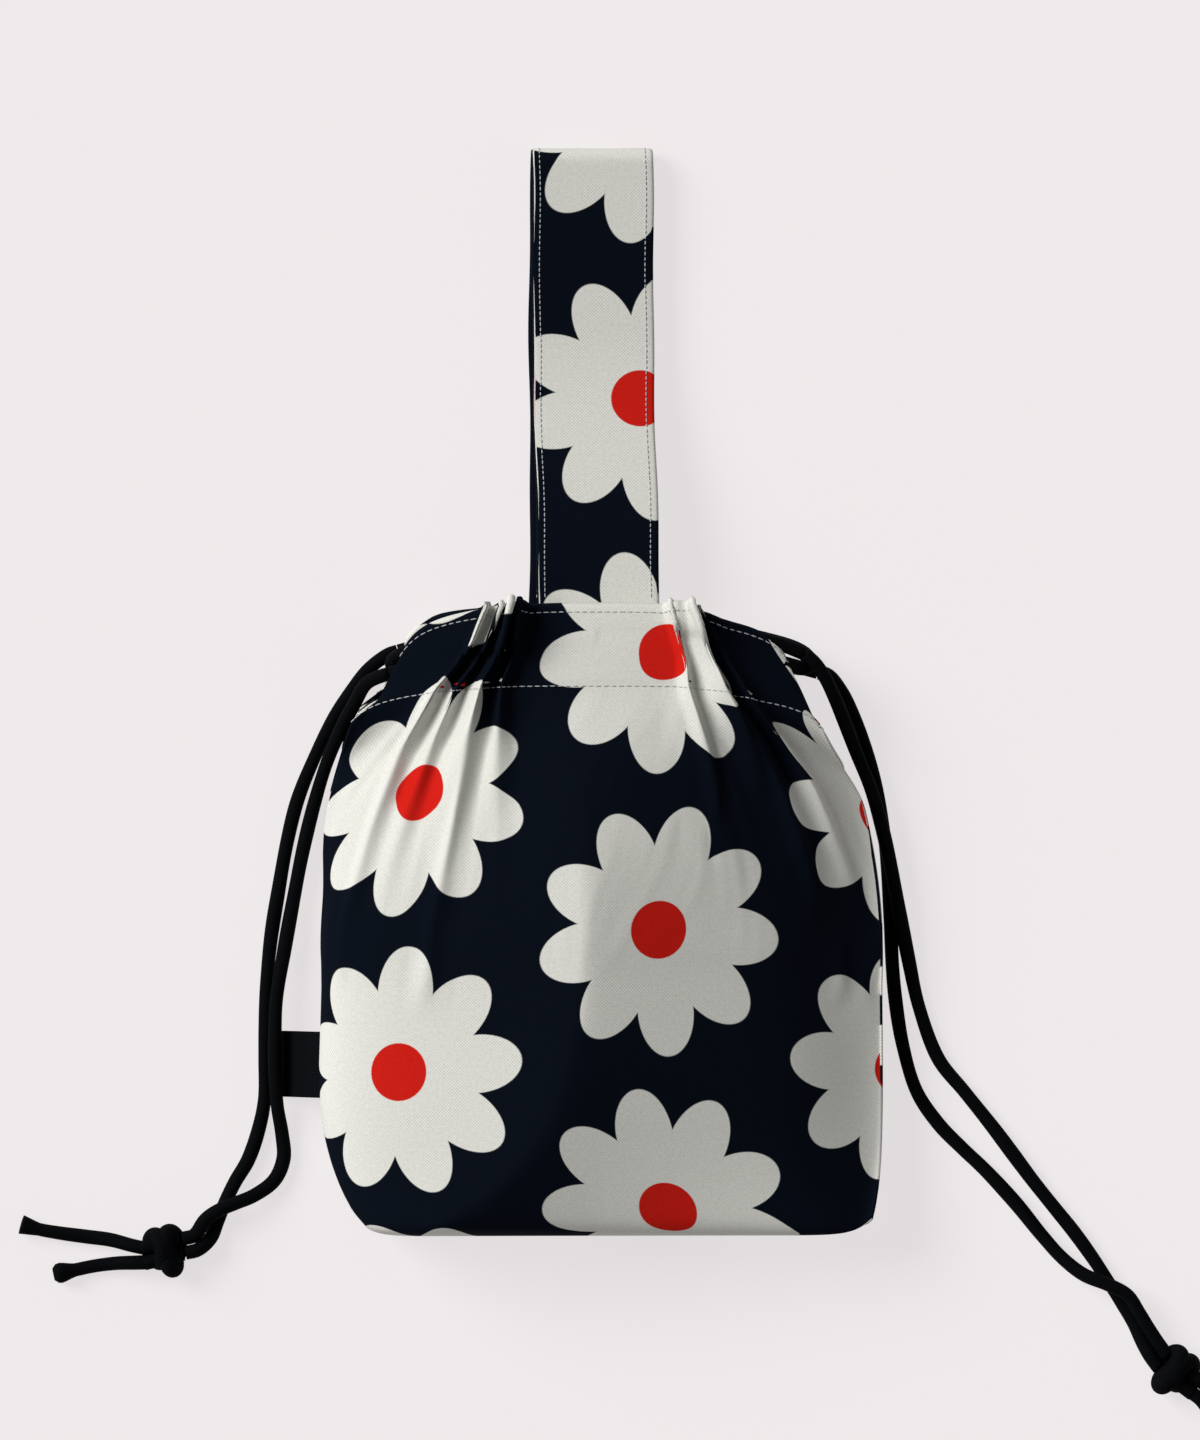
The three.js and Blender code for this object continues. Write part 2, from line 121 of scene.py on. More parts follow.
def route(points, spacing=cord_step):
    """A smooth line through points in millimetres, as evenly spaced points in metres."""
    p = np.array(points, float) / 1000
    p = np.vstack([2 * p[0] - p[1], p, 2 * p[-1] - p[-2]])
    line = []
    for a, b, c, d in zip(p[:-3], p[1:-2], p[2:-1], p[3:]):
        k0, k1, k2 = (np.sqrt(np.linalg.norm(v - u)) for u, v in ((a, b), (b, c), (c, d)))
        out = k1 * ((b - a) / k0 - (c - a) / (k0 + k1) + (c - b) / k1)
        into = k1 * ((c - b) / k1 - (d - b) / (k1 + k2) + (d - c) / k2)
        t = np.linspace(0, 1, 24, endpoint=False)[:, None]
        line.append((2 * t**3 - 3 * t**2 + 1) * b + (t**3 - 2 * t**2 + t) * out
                    + (3 * t**2 - 2 * t**3) * c + (t**3 - t**2) * into)
    line = np.vstack([*line, p[-2:-1]])
    along = line_places(line)
    even = np.linspace(0, along[-1], max(int(along[-1] / spacing), 4) + 1)
    return np.stack([np.interp(even, along, line[:, i]) for i in range(3)], axis=1)


def tube(name, lines, radius, material, sides=16):
    """Closed round cords along lines, as one piece. Its UV runs round, and along in metres."""
    points, faces, corners = [], [], []
    for line, size in zip(lines, radius):
        tangents = np.gradient(line, axis=0)
        tangents /= np.linalg.norm(tangents, axis=1)[:, None]
        side = np.cross(tangents, [0, 0, 1.0])
        for i in range(len(line)):
            if np.linalg.norm(side[i]) < 0.2 and i:
                side[i] = side[i - 1] - tangents[i] * np.dot(side[i - 1], tangents[i])
            side[i] /= np.linalg.norm(side[i])
            if i and np.dot(side[i], side[i - 1]) < 0:
                side[i] *= -1
        up = np.cross(side, tangents)
        radii = np.broadcast_to(size, len(line))[:, None, None]
        angles = np.linspace(0, 2 * math.pi, sides, endpoint=False)[None, :, None]
        rings = line[:, None] + radii * (np.cos(angles) * side[:, None] + np.sin(angles) * up[:, None])
        along = line_places(line)
        start, count = len(points), len(line)
        points += [*rings.reshape(-1, 3), line[0], line[-1]]
        for i in range(count - 1):
            for j in range(sides):
                here, there = start + i * sides, start + (i + 1) * sides
                k = (j + 1) % sides
                faces.append((here + j, here + k, there + k, there + j))
                corners += [(j / sides, along[i]), ((j + 1) / sides, along[i]),
                            ((j + 1) / sides, along[i + 1]), (j / sides, along[i + 1])]
        last = start + (count - 1) * sides
        for j in range(sides):
            k = (j + 1) % sides
            faces += [(last + sides, start + k, start + j), (last + sides + 1, last + j, last + k)]
            corners += [(j / sides, 0)] * 3 + [(j / sides, along[-1])] * 3
    piece = mesh_object(name, points, faces)
    uv = piece.data.uv_layers.new(name="cord")
    uv.data.foreach_set("uv", np.array(corners, np.float32).ravel())
    piece.data.materials.append(material)
    return piece


def linear(red, green, blue):
    """An sRGB colour from 0 to 255 as the linear colour that a shader takes."""
    share = np.array([red, green, blue]) / 255
    value = np.where(share <= 0.04045, share / 12.92, ((share + 0.055) / 1.055) ** 2.4)
    return (*(float(x) for x in value), 1.0)


class Wire:
    """A shader socket that can be reckoned with: each operator adds a Math node and gives its output."""

    def __init__(self, tree, socket=None):
        self.tree = tree
        self.socket = socket

    def node(self, kind, settings, sockets, out=0):
        """Adds a node of any kind with its settings, sets or links its sockets, and gives one output."""
        made = self.tree.nodes.new(kind)
        for key, value in settings.items():
            setattr(made, key, value)
        for key, value in sockets.items():
            if isinstance(value, Wire):
                self.tree.links.new(value.socket, made.inputs[key])
            else:
                made.inputs[key].default_value = value
        return Wire(self.tree, made.outputs[out])

    def __add__(self, other):
        return self.node("ShaderNodeMath", {"operation": "ADD"}, {0: self, 1: other})

    def __sub__(self, other):
        return self.node("ShaderNodeMath", {"operation": "SUBTRACT"}, {0: self, 1: other})

    def __mul__(self, other):
        return self.node("ShaderNodeMath", {"operation": "MULTIPLY"}, {0: self, 1: other})

    def __truediv__(self, other):
        return self.node("ShaderNodeMath", {"operation": "DIVIDE"}, {0: self, 1: other})

    def __rsub__(self, other):
        return self.node("ShaderNodeMath", {"operation": "SUBTRACT"}, {0: other, 1: self})

    __radd__ = __add__
    __rmul__ = __mul__


def surface_places(material, uv_map):
    """A piece's own UV map, and its two measures apart."""
    flat = Wire(material.node_tree).node("ShaderNodeUVMap", {"uv_map": uv_map}, {})
    return flat, *(flat.node("ShaderNodeSeparateXYZ", {}, {0: flat}, out) for out in (0, 1))


def sine(angle):
    return angle.node("ShaderNodeMath", {"operation": "SINE"}, {0: angle})


def dress(shader, colour, tone, height, strength, depth):
    """Gives a shader a colour that a tone of about 1 makes lighter and darker, and a relief that deep."""
    shade = tone.node("ShaderNodeMix", {"data_type": "RGBA", "blend_type": "MULTIPLY"},
                      {0: 1.0, 6: colour, 7: tone}, out=2)
    relief = height.node("ShaderNodeBump", {}, {"Strength": strength, "Distance": depth, "Height": height})
    tone.tree.links.new(shade.socket, shader.inputs["Base Color"])
    tone.tree.links.new(relief.socket, shader.inputs["Normal"])


cord_black = linear(4, 5, 8)
plait_pitch = 0.0042
plaits_round = 8
braid, braid_shader = new_material("black_braid", cord_black, 0.85, 0.05)
_, cord_round, cord_along = surface_places(braid, "cord")
one_way = (cord_round * plaits_round + cord_along * (4 / plait_pitch)) * (2 * math.pi)
other_way = (cord_round * plaits_round - cord_along * (4 / plait_pitch)) * (2 * math.pi)
plait = one_way.node("ShaderNodeMath", {"operation": "MAXIMUM"}, {0: sine(one_way), 1: sine(other_way)})
dress(braid_shader, cord_black, 0.9 + plait * 0.3, plait, 0.3, 0.0002)


def thread_hems(name, points, node):
    """The hidden run of a drawcord through both hems, in place of its CAD node."""
    piece = tube(name, [route(points, 0.002)], [cord_thickness / 2], braid, sides=12)
    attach(piece, "root")
    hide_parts(node)


thread_hems("left_hem_cord", [
    (-70.56, 95.42, 24.93), (-52.87, 100.11, 28.02), (-35.23, 103.46, 30.22), (-17.61, 105.46, 31.54),
    (0, 106.14, 31.98), (17.61, 105.46, 31.54), (35.23, 103.46, 30.22), (52.87, 100.11, 28.02),
    (62, 97.7, 26.3), (66.2, 97, 23.6), (68.4, 97.8, 19.6), (68.9, 99.2, 14.6), (67.6, 101.8, 9.6),
    (63.5, 104.2, 7.3), (51.06, 107.7, 7.09), (34.04, 111.15, 7.01), (17.03, 113.21, 7), (0, 113.9, 7),
    (-17.03, 113.21, 7), (-34.04, 111.15, 7.01), (-51.06, 107.7, 7.09), (-68.08, 102.88, 7.2),
], "left_cord_channel_loop")


# Left knot. An overhand knot of both strands of the left cord, drawn tight: two fat turns cross over the
# top, and the bight that they are drawn through stands out below as a smaller lobe.
def tie_knot(name, centre, heading, lobe_side, slide, node):
    """Crossed turns of cord round the two strands and a lobe beside them, in millimetres. The turns are slid
    along the strands, whose middles stay where the strands and tails meet the knot."""
    turn_radius, strand_radius, strand_offset = 0.0031, 0.0025, 2.44
    turn_shapes = ((-2.6, -1.3, 4.0, 2.9, 1.9), (2.2, -1.1, 4.2, 3.1, -2.1),
                   (-1.2, 3.9, 2.6, 2.2, 1.0), (0.1, 0.2, 4.2, 2.6, 0.3))
    centre = np.array(centre)
    axis = np.array([math.cos(heading), math.sin(heading), 0])
    beside = lobe_side * np.array([-axis[1], axis[0], 0])
    up = np.array([0, 0, 1.0])
    angle = np.linspace(0, 2 * math.pi, 48)[:, None]
    turns = []
    for start, offset, reach, height, lean in turn_shapes:
        along = start + slide + lean * np.sin(angle)
        across = offset + reach * np.cos(angle)
        turns.append((centre + along * axis + across * beside + height * np.sin(angle) * up) / 1000)
    for over in (-strand_offset, strand_offset):
        turns.append(route([centre + place * axis + over * beside for place in (-5.8, -3, 0, 3, 7.6)]))
    radii = [turn_radius] * len(turn_shapes) + [strand_radius] * 2
    piece = tube(name, turns, radii, braid, sides=14)
    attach(piece, "root")
    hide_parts(node)
    return piece


left_knot = tie_knot("left_knot", (-145.8, -96.5, 6.6), math.atan2(-0.24, -0.97), 1, 0.0, "left_cord_knot")


# Left drawcord, front strand. It leaves the front hem at the left side slit, lies along the side over the
# back strand and the label, and runs into the left knot.
def lay_cord(name, points, node, swell=()):
    """A free length of drawcord from the first point to the last, in place of its CAD node.
    It is softly uneven, and swell gives the shares by which its last few rings are wider."""
    line = route(points)
    place = np.arange(len(line)) * cord_step
    uneven = 1 + 0.035 * np.sin(place / 0.0061 + len(line)) + 0.03 * np.sin(place / 0.0157 + 2)
    if len(swell):
        uneven[-len(swell):] *= swell
    piece = tube(name, [line], [cord_thickness / 2 * uneven], braid)
    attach(piece, "root")
    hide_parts(node)


lay_cord("left_front_cord", [
    (-70.84, 95.34, 24.88), (-73.85, 94.43, 24.29), (-78.5, 92, 21.4), (-82.5, 85.5, 17), (-87.3, 76.5, 11.6),
    (-91.8, 66, 7.4), (-95.8, 53.3, 5), (-99.8, 37, 4.8), (-103.1, 20, 4.9), (-106.1, 3.3, 5.6),
    (-108.7, -13.3, 6.8), (-109.2, -26.7, 7.3), (-109.1, -38, 7.1), (-108.4, -48.5, 5.8), (-106.9, -58, 3),
    (-106.4, -66, 2.5), (-109.4, -73.2, 2.8), (-116, -78.2, 4.7), (-122.3, -80.8, 7), (-127.6, -83, 7.6),
    (-132.2, -86.2, 7.2), (-136.1, -91.58, 6.6), (-139.98, -92.54, 6.6),
], "left_cord_front_strand")


# Left drawcord, back strand. The same cord, which leaves the back hem at the left and lies on the floor
# under the front strand as far as the knot.
lay_cord("left_back_cord", [
    (-68.37, 102.79, 7.2), (-71.42, 101.82, 7.22), (-78, 96.9, 5.4), (-83.8, 89.4, 4.2), (-90, 79.9, 3.3),
    (-96.3, 67, 2.6), (-101.7, 53.5, 2.4), (-105.1, 40, 2.4), (-108.1, 23.3, 2.4), (-110.7, 6.7, 2.4),
    (-112.2, -10, 2.4), (-112.5, -23.3, 2.4), (-112.6, -33.3, 2.4), (-112.8, -46.7, 2.4),
    (-114.8, -56.7, 2.4), (-118.3, -66.7, 2.4), (-122.4, -73.6, 2.4), (-125.7, -80.3, 2.4),
    (-128.5, -87.2, 2.6), (-130.6, -92.4, 3.8), (-134.92, -96.33, 6.6), (-138.8, -97.29, 6.6),
], "left_cord_back_strand")


# Left drawcord, upper tail. The loose end of the same cord beyond the knot, which holds it. It is cut off
# square, and its end is flared.
lay_cord("left_upper_tail", [
    (-152.8, -95.71, 6.6), (-156.68, -94.9, 6.2), (-164, -93.1, 3.8), (-172, -92.1, 2.4), (-181, -90.9, 2.4),
    (-187.7, -89.7, 2.8), (-193.7, -88, 3.5),
], "left_cord_upper_tail", np.linspace(1, 1.5, 6))


# Left drawcord, lower tail. The other loose end of the cord beyond the knot, melted to a blob so that it
# can't fray.
lay_cord("left_lower_tail", [
    (-151.62, -100.46, 6.6), (-155.5, -100.6, 6.2), (-162, -100.9, 3.8), (-169, -101.8, 2.4),
    (-176, -103.2, 2.8), (-183, -104.6, 3.5),
], "left_cord_lower_tail", (1.1, 1.25, 1.4, 1.5, 1.4, 0.9))


# Right drawcord, run through the hems. The same black braid, with both ends out at the right side slit. It
# goes along the front hem on the upper lane, round the left side slit and back along the back hem.
thread_hems("right_hem_cord", [
    (66.5, 102, 24.9), (60, 104.6, 26.1), (50.42, 107.14, 27.44), (33.6, 110.47, 29.24),
    (16.79, 112.47, 30.32), (0, 113.14, 30.69), (-16.79, 112.47, 30.32), (-33.6, 110.47, 29.24),
    (-50.42, 107.14, 27.44), (-62, 103.9, 25.6), (-66.8, 101.8, 23.2), (-69.6, 100, 19.4),
    (-70.2, 98.4, 14.6), (-68.8, 96.9, 9.6), (-64, 98, 7.3), (-53.59, 100.7, 7.09),
    (-35.73, 104.15, 7.01), (-17.87, 106.21, 7), (0, 106.9, 7),
    (17.87, 106.21, 7), (35.73, 104.15, 7.01), (53.59, 100.7, 7.09), (71.46, 95.88, 7.2),
], "right_cord_channel_loop")


# Right knot. The same overhand knot of both strands of the right cord, its lobe below as well. Its turns are
# drawn up a little toward the strands.
right_knot = tie_knot("right_knot", (191.7, -137.7, 6.6), math.atan2(-0.6, 0.8), -1, -1.5,
                      "right_cord_knot")


# Right drawcord, front strand. It leaves the front hem at the right side slit, comes down along the shoulder
# and over the back strand, and lies on the floor in a long curve to the right knot.
lay_cord("right_front_cord", [
    (66.8, 101.8, 24.85), (70.2, 98.8, 24.3), (73.4, 94.4, 22.9), (76.5, 88.2, 19.2), (80, 79.9, 14.6),
    (84.2, 69.2, 10.4), (89.2, 56.8, 8.2), (93, 43.6, 7.6), (96, 30, 7.1), (98.7, 16, 5.9), (101.8, 0, 3.2),
    (105.3, -15.7, 2.4), (111.8, -33, 2.4), (120.5, -43.9, 2.4), (129.9, -55.7, 2.4), (136.5, -64.5, 2.4),
    (143, -73.2, 2.4), (150, -82, 2.4), (157, -90.7, 2.4), (163, -99, 2.4), (168.4, -107.2, 2.4),
    (172.8, -114.2, 2.5), (176.9, -121, 3.2), (179.4, -126.6, 4.8), (181.9, -131.4, 6.4),
    (184.95, -135.7, 6.6),
], "right_cord_front_strand")


# Right drawcord, back strand. It leaves the back hem at the right, lies on the floor under the front strand
# and then beside it, and crosses over it just before the knot.
lay_cord("right_back_cord", [
    (71.74, 95.8, 7.2), (74.81, 94.87, 7.22), (79.6, 89, 5), (83.4, 81.5, 3.6), (87, 72, 2.8),
    (90.6, 59, 2.4), (93.2, 45, 2.4), (94.9, 30, 2.4), (95.8, 14, 2.4), (96.3, 0, 2.4), (97.4, -13, 2.4),
    (99.8, -28, 2.4), (104.5, -43.7, 2.4), (111.8, -54.6, 2.4), (119.5, -62.5, 2.4),
    (127.3, -69.9, 2.4), (137.7, -81.2, 2.4),
    (146.3, -91.8, 2.4), (153, -99.2, 3.2), (160, -104.6, 5.6), (168, -107.8, 7.5), (174.6, -111.4, 7.5),
    (178.4, -117.1, 7.2), (181.7, -122.6, 6.8), (184.9, -127.6, 6.7), (187.89, -131.78, 6.6),
], "right_cord_back_strand")


# Right drawcord, upper tail. The loose end of the right cord beyond its knot, which holds it. It lies on the
# floor and is cut off square.
lay_cord("right_upper_tail", [
    (198.45, -139.7, 6.6), (201.65, -142.1, 6.6), (209, -146, 3.6), (216.5, -148.2, 2.4), (225, -149, 2.4),
    (233, -148.6, 2.4),
], "right_cord_upper_tail")


# Right drawcord, lower tail. The other loose end of the right cord, cut off square. It leaves the knot beside
# the upper tail and lies on the floor.
lay_cord("right_lower_tail", [
    (195.51, -143.62, 6.6), (198.71, -146.02, 6.6), (203.4, -152.2, 3.6), (208.6, -157.6, 2.4),
    (214.5, -162, 2.4), (220, -165.5, 2.4),
], "right_cord_lower_tail")


# Front panel. Plain-weave canvas printed with white flowers on navy, sewn to the back down the sides and
# across the boxed base. Its top is turned over as a hem, sewn with pale grey thread along the casing line and
# just below the mouth edge, and drawn together on the cords into folds.
cloth_thickness = 0.9
hem_height = 27.0
mouth_y = 118.3
stitch_y = mouth_y - hem_height
base_y = -90.7
base_edge = 12.0
body_length = stitch_y - base_y - base_edge
base_half, body_half, neck_half, mouth_half = 78.0, 93.0, 79.0, 66.0
base_top, body_top, neck_top, mouth_top = 48.0, 55.0, 39.0, 34.0
base_seam, body_seam, closed_slit, open_slit = 24.0, 16.0, 0.15, 13.0
belly_height = 62.0
bunch_left, bunch_right = (24.0, 54.0, 0.1), (29.0, 52.0, 0.28)


def smooth(value, low, high):
    """A soft step from 0 at low to 1 at high."""
    t = np.clip((value - low) / (high - low), 0, 1)
    return t * t * (3 - 2 * t)


def front_dome(q, above, half):
    """The front's rise across, which is 1 on a ridge left of the middle and further left near the base. The
    right side falls gently to a bend and then steeply to the seam, and the left is a round shoulder."""
    ridge_round, bend_round, gentle_fall, shoulder_fall = 0.03, 0.05, 0.76, 0.44
    ridge = (-4.5 - 56 * math.exp(-above / 25)) / half
    aside = (np.sqrt((q - ridge) ** 2 + ridge_round ** 2) - ridge_round) / (1 - ridge_round)
    right = np.clip(aside / (1 - ridge), 0, 1)
    left = np.clip(aside / (1 + ridge), 0, 1)
    bend = 0.66 + 0.3 * math.exp(-above / 22)
    gentle = 1 - gentle_fall * right
    steep = (1 - gentle_fall * bend) * (1 - right) / (1 - bend)
    slope = (gentle + steep - np.sqrt((gentle - steep) ** 2 + bend_round ** 2)) / 2
    slope = np.clip(slope, 0, 1) * (1 - right ** 14) ** (1 / 3)
    shoulder = (1 - shoulder_fall * left) * (1 - left ** 6) ** (1 / 3)
    return np.where(q > ridge, slope, shoulder)


def arch(side, path):
    """A panel's bare line across at a place on its path: 0 base seam, 1 base edge, 2 stitching, 3 mouth."""
    turn = np.clip(path, 0, 1) * math.pi / 2
    body = np.clip(path - 1, 0, 1)
    hem = max(path - 2, 0)
    y = base_y + base_edge * (1 - math.sqrt(abs(math.cos(turn)))) + body * body_length + hem * hem_height
    swell = 1 - (1 - np.clip((y - base_y) / belly_height, 0, 1)) ** 2.6
    fall = (2 * max(body - 0.5, 0)) ** 2
    gather = smooth(path, 1.5, 2)
    half = base_half + (body_half - base_half) * swell - fall * (body_half - neck_half)
    half = half + (mouth_half - half) * hem
    top = base_top + (body_top - base_top) * swell - fall * (body_top - neck_top)
    top = top + (mouth_top - top) * hem
    seam = base_seam + (body_seam - base_seam) * swell
    slit = closed_slit + (open_slit - closed_slit) * smooth(path, 1.88, 2)
    edge = seam + side * slit
    q = np.sin(np.linspace(-1, 1, 241) * math.pi / 2)
    dome = front_dome(q, y - base_y, half) if side > 0 else (1 - q ** 4) ** 0.25
    dome[0], dome[-1] = 0, 0
    crown = (dome + (1 - q * q - dome) * gather) * math.sqrt(math.sin(turn))
    aside = np.abs(q)
    if side > 0:
        z = edge + (top - edge) * crown
        droop = smooth(path, 1.2, 2.3) * (9 * aside ** 3 + 5 * aside ** 16 + 3 * smooth(q, 0.3, 0.75))
    else:
        z = edge - (edge - gather * 2.8) * np.minimum(1, 1.25 * crown)
        droop = smooth(path, 1.2, 2.3) * (4 * q * q + 8 * aside ** 12 + 6.5 * smooth(q, 0.3, 0.9))
    corner_lift = (1 - swell) * np.where(q > 0, 5.5 * aside ** 18, 2.5 * aside ** 20)
    right_shoulder = 0.08 * smooth(path, 1.82, 2)
    left_shoulder = 0.05 * smooth(path, 1.6, 1.85) * (1 - smooth(path, 1.98, 2.4))
    fuller = np.where(q > 0, 1 + 0.14 * (1 - swell) - right_shoulder, 1 + left_shoulder)
    return np.stack([half * q * fuller, y - droop + corner_lift, z], axis=1)


def gathered_row(bare, side, flat_half, columns, folds, path, height):
    """A row of cloth laid along its bare line, with the cloth to spare taken up in folds of that height.
    Above the cords the bunched cloth puffs out, more on the left than on the right."""
    places = line_places(bare)
    half_length = places[-1] / 2
    s = columns * flat_half
    spare = flat_half - half_length
    below = (2 - path) * (body_length if path < 2 else hem_height)
    place, drawn = np.zeros(len(s)), np.zeros(len(s))
    for way, (start, width, spread) in ((-1, bunch_left), (1, bunch_right)):
        start = min(start + spread * below, flat_half - width - 2)
        taken = np.clip(way * s - start, 0, width) / width
        place += way * (np.clip(way * s, 0, None) - taken * spare)
        drawn += smooth(taken, 0, 0.15) * (1 - smooth(taken, 0.85, 1))
    at = np.stack([np.interp(place + half_length, places, bare[:, i]) for i in range(3)], axis=1)
    tangent = np.gradient(at, axis=0)
    tangent[:, 1] = 0
    tangent /= np.linalg.norm(tangent, axis=1)[:, None]
    normal = side * np.stack([-tangent[:, 2], np.zeros(len(s)), tangent[:, 0]], axis=1)
    rise, shift = np.zeros(len(s)), np.zeros(len(s))
    for start, end, weight, lean, fade, slant in folds:
        here = weight * smooth(path, fade, fade + 0.5)
        phase = np.clip((s - start - slant * below) / (end - start), 0, 1)
        bump = np.abs(np.sin(math.pi * phase)) ** (1.6 - 0.7 * smooth(path, 2.4, 2.8))
        rise += here * bump
        shift += here * (lean * bump + 0.12 * np.sin(2 * math.pi * phase))
    cord_path, puff_edge, puff_lift, puff_drop = (
        np.where(s > 0, right, left) for left, right in ((2.48, 2.66), (0.6, 1.1), (5.0, 3.8), (4.5, 1.2)))
    above_cord = np.clip(path - cord_path, 0, None) / (3 - cord_path)
    swelling = np.sin(math.pi * 0.85 * above_cord ** 0.8) ** puff_edge
    puff = (0.55 + 0.45 * side) * swelling * drawn * np.clip(0.35 + 0.65 * rise, 0, 1.3)
    lift = height * (rise - 0.12) * (1 - 0.45 * swelling) + puff_lift * puff
    row = at + normal * lift[:, None] + height * tangent * shift[:, None]
    row[:, 1] -= puff_drop * puff * (1 - above_cord)
    return row, normal, rise


def fold_height(bare, side, flat_half, columns, folds, path):
    """The height of fold that takes up all the cloth to spare in a row."""
    low, high = 0.0, 12.0
    for _ in range(18):
        middle = (low + high) / 2
        row = gathered_row(bare, side, flat_half, columns, folds, path, middle)[0]
        if line_places(row)[-1] < 2 * flat_half:
            low = middle
        else:
            high = middle
    return low


def panel_grid(side, folds, columns, body_rows, highest=12.0):
    """Points of a whole panel from the base seam to the mouth, over its edge and down the turned hem."""
    base_rows, hem_rows, hem_depth, hem_under, edge_round = 15, 18, 8.0, 1.6, 1.6
    paths = np.concatenate([np.linspace(0, 1, base_rows)[:-1], np.linspace(1, 2, body_rows)[:-1],
                            np.linspace(2, 3, hem_rows)])
    bare = [arch(side, p) for p in paths]
    lengths = np.array([line_places(line)[-1] for line in bare])
    widest = int(np.argmax(lengths[:70]))
    halves = lengths / 2
    halves[widest:] = halves[widest]
    heights = np.array([fold_height(b, side, h, columns, folds, p) for b, h, p in zip(bare, halves, paths)])
    cord_pinch = 1 - 0.45 * np.exp(-((paths - 2.5) / 0.13) ** 2)
    heights = np.minimum(heights, highest) * smooth(paths, 1.1, 1.5) * cord_pinch
    heights = np.convolve(np.pad(heights, 3, mode="edge"), np.ones(7) / 7, mode="valid")
    rows, flats, normals = [], [], []
    for line, half, height, path in zip(bare, halves, heights, paths):
        row, normal, rise = gathered_row(line, side, half, columns, folds, path, height)
        row[:, 1] += 1.7 * (rise - 0.6) * smooth(path, 2.5, 3)
        rows.append(row)
        flats.append(columns * half)
        normals.append(normal)
    middle = np.array([row[len(columns) // 2] for row in rows])
    runs = list(line_places(middle))
    mouth, outward, flat = rows[-1], normals[-1], flats[-1]
    for angle in np.linspace(0, math.pi, 7)[1:]:
        roll = mouth - outward * (hem_depth / 2) * (1 - math.cos(angle))
        rows.append(roll + np.array([0, edge_round, 0]) * math.sin(angle))
        runs.append(runs[-1] + 1.4)
        flats.append(flat)
    for back in range(2, hem_rows - 1, 2):
        outer = len(paths) - 1 - back
        rows.append(rows[outer] - normals[outer] * (hem_under if back == hem_rows - 2 else hem_depth))
        runs.append(runs[-1] + 3)
        flats.append(flat)
    return np.array(rows), np.array(flats), np.array(runs), paths


def cloth_piece(name, grid, flats, runs, material):
    """A sheet of cloth from a grid of points in millimetres, with the flat cloth as its UV in metres."""
    rows, columns = grid.shape[:2]
    index = np.arange(rows * columns).reshape(rows, columns)
    faces = np.stack([index[:-1, :-1], index[:-1, 1:], index[1:, 1:], index[1:, :-1]], axis=-1)
    faces = faces.reshape(-1, 4)
    piece = mesh_object(name, grid.reshape(-1, 3) / 1000, faces.tolist())
    flat_along = np.repeat(np.array(runs)[:, None], columns, axis=1)
    flat = np.stack([flats, flat_along], axis=-1).reshape(-1, 2) / 1000
    uv = piece.data.uv_layers.new(name="cloth")
    uv.data.foreach_set("uv", flat[faces.ravel()].astype(np.float32).ravel())
    piece.data.materials.append(material)
    return piece


def thicken(piece, thickness):
    """Gives a sheet its thickness, inwards from the face that shows."""
    shell = piece.modifiers.new("thickness", "SOLIDIFY")
    shell.thickness = thickness / 1000
    shell.offset = -1
    made = bpy.data.meshes.new_from_object(piece.evaluated_get(bpy.context.evaluated_depsgraph_get()))
    piece.modifiers.remove(shell)
    piece.data = made


